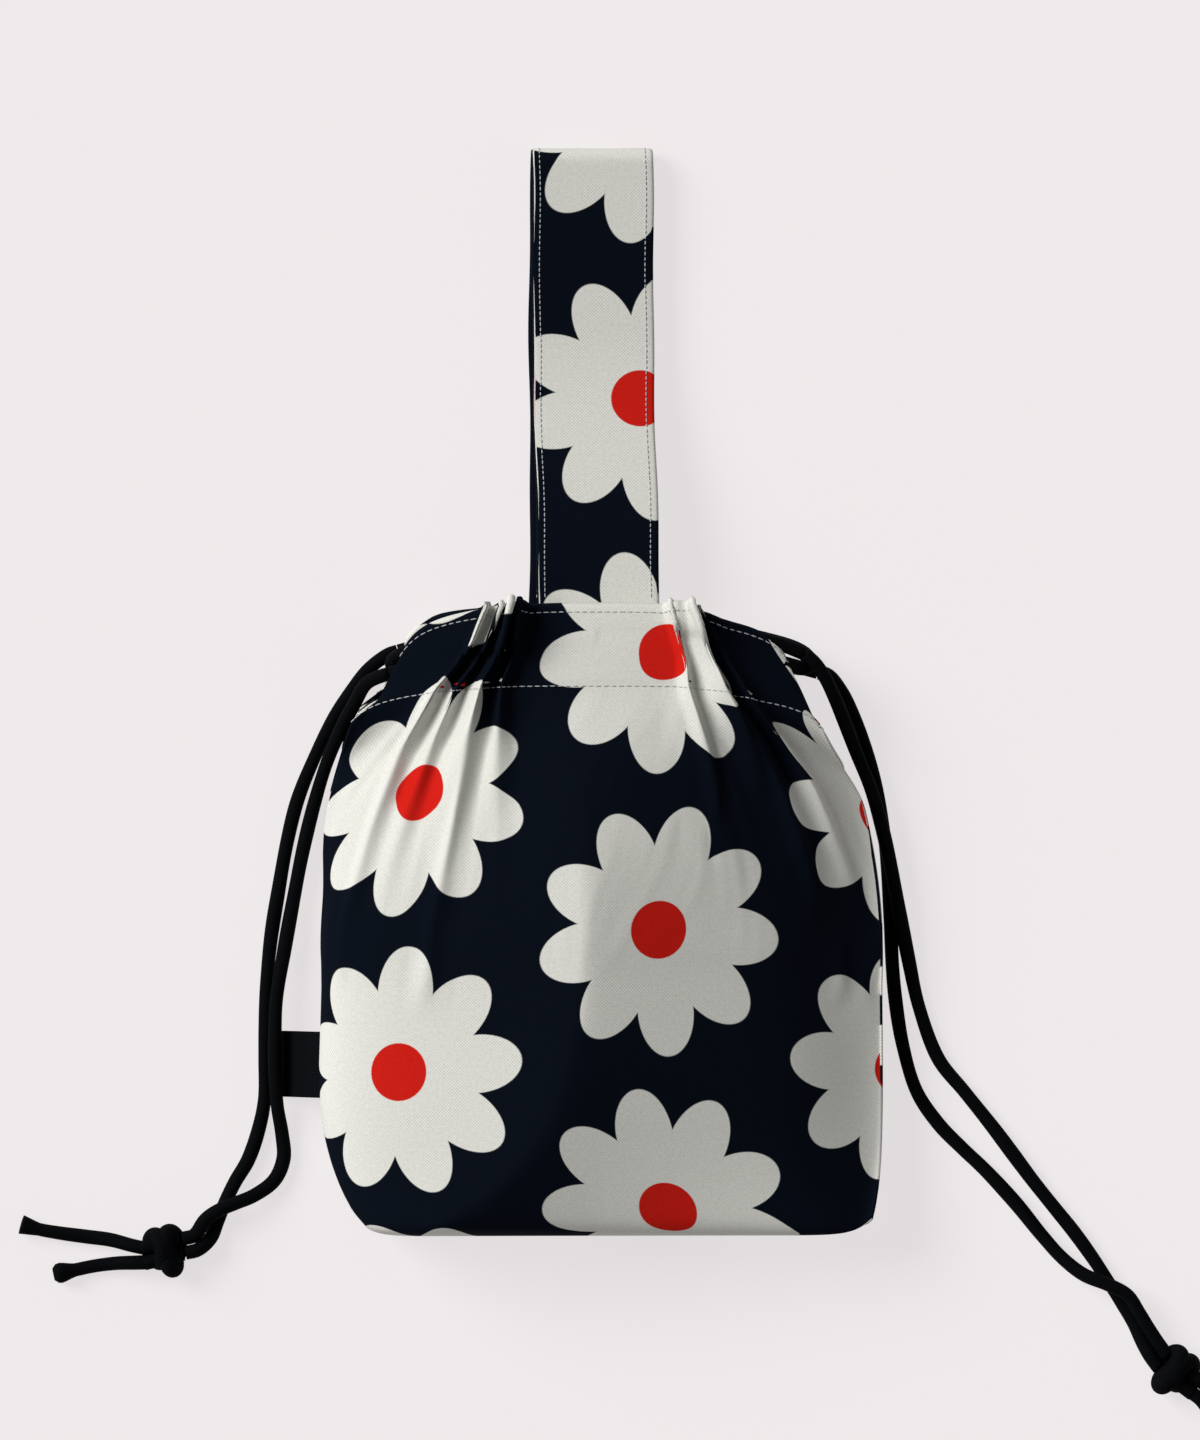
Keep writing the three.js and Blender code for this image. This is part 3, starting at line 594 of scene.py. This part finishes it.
def printed_canvas(name, shift_x, shift_y):
    """Navy canvas with a half-drop print of regular nine-petal flowers, read from the flat cloth."""
    navy, petal_white, eye_red = linear(8, 14, 24), linear(214, 214, 208), linear(196, 30, 22)
    across, drop, petal_count = 88.0, 94.0, 9
    petal_middle, petal_half_length, petal_half_width = 27.0, 15.0, 9.6
    disc_radius, eye_radius, print_edge, weave = 24.0, 9.6, 3.5, 1.1
    material, shader = new_material(name, navy, 0.95, 0.03)
    flat, flat_x, flat_y = surface_places(material, "cloth")

    def sum_of(operation, *values):
        return flat.node("ShaderNodeMath", {"operation": operation}, dict(enumerate(values)))

    x = flat_x * 1000 + shift_x
    y = flat_y * 1000 + shift_y
    column = sum_of("ROUND", x / across)
    half_drop = sum_of("FLOORED_MODULO", column, 2.0) * (drop / 2)
    row = sum_of("ROUND", (y - half_drop) / drop)
    from_x = x - column * across
    from_y = y - half_drop - row * drop
    cell = flat.node("ShaderNodeCombineXYZ", {}, {0: column, 1: row})
    chance = cell.node("ShaderNodeTexWhiteNoise", {"noise_dimensions": "2D"}, {0: cell})
    radius = sum_of("SQRT", from_x * from_x + from_y * from_y)
    bearing = sum_of("ARCTAN2", from_y, from_x) + chance * (2 * math.pi)
    petal_angle = 2 * math.pi / petal_count
    turn = sum_of("FLOORED_MODULO", bearing, petal_angle) - petal_angle / 2
    petal_x = (radius * sum_of("COSINE", turn) - petal_middle) / petal_half_length
    petal_y = radius * sine(turn) / petal_half_width
    petal = (sum_of("SQRT", petal_x * petal_x + petal_y * petal_y) - 1) * petal_half_width
    outline = sum_of("MINIMUM", petal, radius - disc_radius)
    white = flat.node("ShaderNodeClamp", {}, {0: 0.5 - outline * print_edge})
    red = flat.node("ShaderNodeClamp", {}, {0: 0.5 - (radius - eye_radius) * print_edge})
    petals = flat.node("ShaderNodeMix", {"data_type": "RGBA"}, {0: white, 6: navy, 7: petal_white}, out=2)
    flowers = flat.node("ShaderNodeMix", {"data_type": "RGBA"}, {0: red, 6: petals, 7: eye_red}, out=2)
    slub = flat.node("ShaderNodeTexNoise", {}, {"Vector": flat, "Scale": 900.0, "Detail": 2.0})
    cloth = sine(x * (2 * math.pi / weave)) * sine(y * (2 * math.pi / weave)) * 0.6 + slub
    dress(shader, flowers, 0.82 + cloth * 0.24, cloth, 0.25, 0.00015)
    return material


front_folds = [
    (-37, -24, 0.8, -0.2, 1.5, -0.03), (-55, -37, 1.2, 0.1, 1.3, -0.08), (-67, -55, 0.8, 0.2, 1.5, -0.14),
    (-78, -67, 0.9, 0.0, 1.35, -0.16), (29, 41, 0.8, 0.1, 1.5, 0.22), (41, 66, 1.35, 0.36, 1.3, 0.38),
    (66, 81, 0.9, 0.1, 1.4, 0.3),
]
hem_ruffles = [(start, start + width, weight, 0.0, 2.0, 0.0) for start, width, weight in (
    (-76, 8, 0.25), (-50, 11, 0.35), (-34, 9, 0.25), (44, 12, 0.3), (56, 9, 0.3), (71, 9, 0.25))]
panel_columns = np.linspace(-1, 1, 211)
panel_body_rows = 100
panel_folds = front_folds + hem_ruffles
front_grid, front_flats, front_runs, panel_paths = panel_grid(1, panel_folds, panel_columns, panel_body_rows)


def settled(folds, columns, body_rows, frames):
    """How far a coarse copy of the front sinks and creases, hung by its sewn edges over its contents."""
    grid, flats, runs, paths = panel_grid(1, folds, columns, body_rows)
    count = len(paths)
    grid, flats, runs = grid[:count], flats[:count], runs[:count]
    hanging = cloth_piece("settling_cloth", grid, flats, runs, braid)
    hanging.shape_key_add(name="gathered")
    flat = hanging.shape_key_add(name="flat")
    flat_along = np.repeat(runs[:, None], len(columns), axis=1)
    flat_points = np.stack([flats, flat_along, np.zeros_like(flats)], axis=-1)
    flat.data.foreach_set("co", (flat_points.reshape(-1, 3) / 1000).ravel())
    held = np.repeat((1 - smooth(paths, 0.0, 1.5))[:, None], len(columns), axis=1)
    held[paths > 2.02] = 1
    held[:, 0], held[:, -1] = 1, 1
    group = hanging.vertex_groups.new(name="sewn")
    for index in np.flatnonzero(held):
        group.add([int(index)], float(held.flat[index]), "REPLACE")
    inside = panel_grid(1, [], columns, body_rows)[0][:count]
    inside[..., 2] -= 3.0
    contents = cloth_piece("contents", inside, flats, runs, braid)
    contents.modifiers.new("solid", "COLLISION")
    contents.collision.thickness_outer = 0.001
    contents.collision.cloth_friction = 5
    sim = hanging.modifiers.new("cloth", "CLOTH")
    sim.settings.quality = 8
    sim.settings.mass = 0.1
    sim.settings.tension_stiffness = 40
    sim.settings.compression_stiffness = 40
    sim.settings.shear_stiffness = 15
    sim.settings.bending_stiffness = 1.5
    sim.settings.air_damping = 2
    sim.settings.vertex_group_mass = "sewn"
    sim.settings.rest_shape_key = flat
    sim.collision_settings.distance_min = 0.001
    sim.point_cache.frame_start = 1
    sim.point_cache.frame_end = frames
    for number in range(1, frames + 1):
        scene.frame_set(number)
    after = hanging.evaluated_get(bpy.context.evaluated_depsgraph_get()).data
    points = np.empty(len(after.vertices) * 3)
    after.vertices.foreach_get("co", points)
    scene.frame_set(1)
    for extra in (hanging, contents):
        bpy.data.objects.remove(extra)
    return points.reshape(grid.shape) * 1000 - grid, paths


coarse_columns = np.linspace(-1, 1, 107)
sag, sag_paths = settled(panel_folds, coarse_columns, body_rows=70, frames=30)
sag *= smooth(sag_paths, 0.3, 1.4)[:, None, None]
sag[1:-1] = (sag[:-2] + 2 * sag[1:-1] + sag[2:]) / 4
sag[:, 1:-1] = (sag[:, :-2] + 2 * sag[:, 1:-1] + sag[:, 2:]) / 4
by_row = np.stack([[np.interp(panel_paths, sag_paths, sag[:, i, axis]) for i in range(sag.shape[1])]
                   for axis in range(3)])
for row in range(len(panel_paths)):
    for axis in range(3):
        front_grid[row, :, axis] += np.interp(panel_columns, coarse_columns, by_row[axis, :, row])
front = cloth_piece("front_cloth", front_grid, front_flats, front_runs,
                    printed_canvas("front_canvas", 64.0, 22.0))
thicken(front, cloth_thickness)


def running_stitch():
    """A node group that sets stitches along a line."""
    group = bpy.data.node_groups.new("running_stitch", "GeometryNodeTree")
    sockets = {}
    for label, kind in (("Line", "Geometry"), ("Pitch", "Float"), ("Stitch", "Float"), ("Thread", "Float"),
                        ("Seed", "Int"), ("Finish", "Material")):
        made = group.interface.new_socket(name=label, in_out="INPUT", socket_type="NodeSocket" + kind)
        sockets[label] = made.identifier
    group.interface.new_socket(name="Stitches", in_out="OUTPUT", socket_type="NodeSocketGeometry")
    nodes, link = group.nodes, group.links.new
    given = nodes.new("NodeGroupInput")
    given_at = {output.name: output for output in given.outputs}
    curve = nodes.new("GeometryNodeMeshToCurve")
    link(given_at["Line"], curve.inputs["Mesh"])
    places = nodes.new("GeometryNodeCurveToPoints")
    places.mode = "LENGTH"
    link(curve.outputs[0], places.inputs["Curve"])
    link(given_at["Pitch"], places.inputs["Length"])
    bead = nodes.new("GeometryNodeMeshUVSphere")
    bead.inputs["Segments"].default_value = 8
    bead.inputs["Rings"].default_value = 6
    chance = nodes.new("FunctionNodeRandomValue")
    chance.data_type = "FLOAT"
    chance.inputs[2].default_value = 0.44
    chance.inputs[3].default_value = 0.54
    link(given_at["Seed"], chance.inputs["Seed"])
    long = nodes.new("ShaderNodeMath")
    long.operation = "MULTIPLY"
    link(given_at["Stitch"], long.inputs[0])
    link(chance.outputs[1], long.inputs[1])
    thick = nodes.new("ShaderNodeMath")
    thick.operation = "MULTIPLY"
    link(given_at["Thread"], thick.inputs[0])
    thick.inputs[1].default_value = 0.5
    shape = nodes.new("ShaderNodeCombineXYZ")
    link(thick.outputs[0], shape.inputs[0])
    link(thick.outputs[0], shape.inputs[1])
    link(long.outputs[0], shape.inputs[2])
    stitches = nodes.new("GeometryNodeInstanceOnPoints")
    link(places.outputs["Points"], stitches.inputs["Points"])
    link(bead.outputs["Mesh"], stitches.inputs["Instance"])
    link(places.outputs["Rotation"], stitches.inputs["Rotation"])
    link(shape.outputs[0], stitches.inputs["Scale"])
    real = nodes.new("GeometryNodeRealizeInstances")
    link(stitches.outputs[0], real.inputs[0])
    finish = nodes.new("GeometryNodeSetMaterial")
    link(real.outputs[0], finish.inputs["Geometry"])
    link(given_at["Finish"], finish.inputs["Material"])
    result = nodes.new("NodeGroupOutput")
    link(finish.outputs[0], result.inputs[0])
    return group, sockets


stitch_group, stitch_inputs = running_stitch()
thread_grey = linear(176, 178, 181)
thread, thread_shader = new_material("grey_thread", thread_grey, 0.7, 0.2)
thread_place = Wire(thread.node_tree).node("ShaderNodeTexCoord", {}, {}, out="Object")
fuzz = thread_place.node("ShaderNodeTexNoise", {}, {"Vector": thread_place, "Scale": 1800.0, "Detail": 2.0})
dress(thread_shader, thread_grey, 0.7 + fuzz * 0.6, fuzz, 0.3, 0.0001)


def sew(name, lines, seed, pitch=2.5, stitch=1.95, thickness=0.4):
    """Rows of stitches along lines in millimetres, as one plain mesh."""
    points, edges = [], []
    for line in lines:
        edges += [(len(points) + i, len(points) + i + 1) for i in range(len(line) - 1)]
        points += [tuple(np.array(p) / 1000) for p in line]
    mesh = bpy.data.meshes.new(name)
    mesh.from_pydata(points, edges, [])
    piece = bpy.data.objects.new(name, mesh)
    scene.collection.objects.link(piece)
    maker = piece.modifiers.new("stitches", "NODES")
    maker.node_group = stitch_group
    for label, value in (("Pitch", pitch / 1000), ("Stitch", stitch / 1000), ("Thread", thickness / 1000),
                         ("Seed", seed), ("Finish", thread)):
        maker[stitch_inputs[label]] = value
    made = bpy.data.meshes.new_from_object(piece.evaluated_get(bpy.context.evaluated_depsgraph_get()))
    piece.modifiers.remove(maker)
    piece.data = made
    made.polygons.foreach_set("use_smooth", [True] * len(made.polygons))
    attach(piece, "root")
    return piece


def on_cloth(grid, row, lift):
    """A line along a row of cloth, a little above its face."""
    over = np.gradient(grid[row], axis=0)
    ahead = grid[row + 1] - grid[row - 1]
    normal = np.cross(over, ahead)
    normal /= np.linalg.norm(normal, axis=1)[:, None]
    return grid[row] + normal * lift


casing_row = int(np.argmin(np.abs(panel_paths - 2.0)))
edge_row = int(np.argmin(np.abs(panel_paths - 2.94)))
hem_lines = [on_cloth(front_grid, row, 0.12) for row in (casing_row, edge_row)]
hem_stitches = sew("hem_stitches", hem_lines, 3)
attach(front, "root")
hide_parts("front_panel")


# Back panel. The same canvas, which lies on the floor and carries the weight of the pouch. Its hem shows
# beyond the front at both shoulders.
back_fold_limit = 2.4
floor_clearance = 0.05
back_grid, back_flats, back_runs, _ = panel_grid(-1, panel_folds, panel_columns, panel_body_rows,
                                                 back_fold_limit)
back_grid[..., 2] = np.maximum(back_grid[..., 2], floor_clearance)
back = cloth_piece("back_cloth", back_grid[:, ::-1], back_flats[:, ::-1], back_runs,
                   printed_canvas("back_canvas", 124.0, 47.0))
thicken(back, cloth_thickness)
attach(back, "root")
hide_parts("back_panel")


# Handle strap. One loop of doubled canvas, topstitched along both edges with the same grey thread. Its ends
# are sewn inside the mouth, and it is laid flat above the pouch, its lower half showing a little at the left.
strap_width = 40.5
strap_thickness = 2.0


def strap_route():
    """The strap's middle line from the front hem round the far fold to the back hem, as (y, z)."""
    front_end_z, back_end_z, upper_z, under_z = 23.86, 11.6, 9.0, 1.0
    fold_y, fold_radius = 265.3, 4.0
    share = np.linspace(0, 1, 60)
    ease = smooth(share, 0, 1)
    tuck = np.linspace(97, 120, 14)
    front_end = np.stack([tuck, np.full(14, front_end_z)], axis=1)
    front_leg = np.stack([121.3 + 88 * share, front_end_z + (upper_z - front_end_z) * ease], axis=1)
    straight = np.stack([np.linspace(210.5, 264.5, 36), np.full(36, upper_z)], axis=1)
    turn = np.linspace(0, math.pi, 22)
    fold = np.stack([fold_y + fold_radius * np.sin(turn), under_z + fold_radius * (1 + np.cos(turn))], axis=1)
    under = np.stack([np.linspace(264.5, 162.5, 66), np.full(66, under_z)], axis=1)
    back_leg = np.stack([121.3 + 40 * share, back_end_z + (under_z - back_end_z) * ease], axis=1)[::-1]
    back_end = np.stack([tuck[::-1], np.full(14, back_end_z)], axis=1)
    return np.vstack([front_end, front_leg, straight, fold, under, back_leg, back_end])


def band(name, line, half_width, thickness, middle, material):
    """A closed band of even width and thickness along a (y, z) line, with rounded edges."""
    tangent = np.gradient(line, axis=0)
    tangent /= np.linalg.norm(tangent, axis=1)[:, None]
    normal = np.stack([-tangent[:, 1], tangent[:, 0]], axis=1)
    runs = line_places(line)
    bulge = thickness / 2
    flat = np.linspace(-1, 1, 25) * (half_width - bulge)
    round_edge = np.linspace(math.pi / 2, -math.pi / 2, 7)[1:-1]
    section = [(x, bulge, x) for x in flat]
    section += [(flat[-1] + bulge * math.cos(a), bulge * math.sin(a), half_width) for a in round_edge]
    section += [(x, -bulge, 2 * half_width - x) for x in flat[::-1]]
    section += [(-flat[-1] - bulge * math.cos(a), -bulge * math.sin(a), 3 * half_width) for a in round_edge]
    section = np.array(section)
    count = len(section)
    grid = np.zeros((len(line), count, 3))
    grid[:, :, 0] = middle[:, None] + section[None, :, 0]
    grid[:, :, 1] = line[:, None, 0] + normal[:, None, 0] * section[None, :, 1]
    grid[:, :, 2] = line[:, None, 1] + normal[:, None, 1] * section[None, :, 1]
    index = np.arange(len(line) * count).reshape(len(line), count)
    ahead = np.roll(index, -1, axis=1)
    faces = np.stack([index[:-1], ahead[:-1], ahead[1:], index[1:]], axis=-1).reshape(-1, 4).tolist()
    faces += [index[0, ::-1].tolist(), index[-1].tolist()]
    piece = mesh_object(name, grid.reshape(-1, 3) / 1000, [face[::-1] for face in faces])
    flat_uv = np.stack([np.broadcast_to(section[None, :, 2], grid.shape[:2]),
                        np.broadcast_to(runs[:, None], grid.shape[:2])], axis=-1).reshape(-1, 2) / 1000
    loops = np.empty(len(piece.data.loops), int)
    piece.data.loops.foreach_get("vertex_index", loops)
    uv = piece.data.uv_layers.new(name="cloth")
    uv.data.foreach_set("uv", flat_uv[loops].astype(np.float32).ravel())
    piece.data.materials.append(material)
    return piece, grid


strap_line = strap_route()
strap_runs = line_places(strap_line)
far_end = int(np.argmax(strap_line[:, 0]))
reach = np.clip((strap_line[:, 0] - 100) / 170, 0, 1)
strap_middle = -1.5 - 2.5 * reach
strap_middle[far_end:] = -4.5 + 0.5 * reach[far_end:]
strap_middle += 0.35 * np.sin(strap_runs / 21) + 0.2 * np.sin(strap_runs / 8.3 + 1)
strap, strap_grid = band("handle_strap_cloth", strap_line, strap_width / 2, strap_thickness, strap_middle,
                         printed_canvas("strap_canvas", 72.5, 50.0))
strap_edge = strap_width / 2 - 2.7
strap_face = strap_thickness / 2 + 0.1
strap_slope = np.gradient(strap_line, axis=0)
strap_slope /= np.linalg.norm(strap_slope, axis=1)[:, None]
strap_rows = []
for side in (-1, 1):
    row = np.stack([strap_middle + side * strap_edge, strap_line[:, 0], strap_line[:, 1]], axis=1)
    over = row + strap_face * np.stack([np.zeros(len(row)), -strap_slope[:, 1], strap_slope[:, 0]], axis=1)
    under = row + np.array([0, 0, strap_face])
    strap_rows += [over[14:far_end + 8], under[far_end + 20:-14]]
strap_stitches = sew("strap_stitches", strap_rows, 5, pitch=1.8, stitch=1.4)
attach(strap, "root")
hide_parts("handle_strap")


# Side label. A folded tab of close woven black tape, caught in the left side seam. Its outer end lies on
# the floor under the cords.
label_width, label_thickness, label_reach = 22.0, 0.9, 17.0
label_middle, label_end_z = 34.5, 0.8
label_share = np.linspace(0, 1, 24)
label_fall = smooth(label_share, -0.15, 1.05)
label_line = np.stack([body_half + label_reach * label_share,
                       body_seam + (label_end_z - body_seam) * label_fall], axis=1)
tape_black = linear(5, 7, 11)
tape, tape_shader = new_material("woven_tape", tape_black, 0.8, 0.05)
tape_flat, tape_over, tape_along = surface_places(tape, "cloth")
rib_pitch, warp_pitch = 0.0008, 0.0012
tape_ribs = sine(tape_along * (2 * math.pi / rib_pitch)) * 0.5
tape_ribs = tape_ribs + sine(tape_over * (2 * math.pi / warp_pitch)) * 0.25
tape_slub = tape_flat.node("ShaderNodeTexNoise", {}, {"Vector": tape_flat, "Scale": 1200.0, "Detail": 2.0})
tape_weave = tape_ribs + tape_slub
dress(tape_shader, tape_black, 0.8 + tape_weave * 0.4, tape_weave, 0.3, 0.0001)
label, label_grid = band("side_label_tape", label_line, label_width / 2, label_thickness,
                         np.full(len(label_line), label_middle), tape)
turned = label_grid.reshape(-1, 3).copy() / 1000
label_points = np.stack([-turned[:, 1], -turned[:, 0], turned[:, 2]], axis=1)
label.data.vertices.foreach_set("co", label_points.ravel())
label.data.update()
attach(label, "root")
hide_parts("side_label")
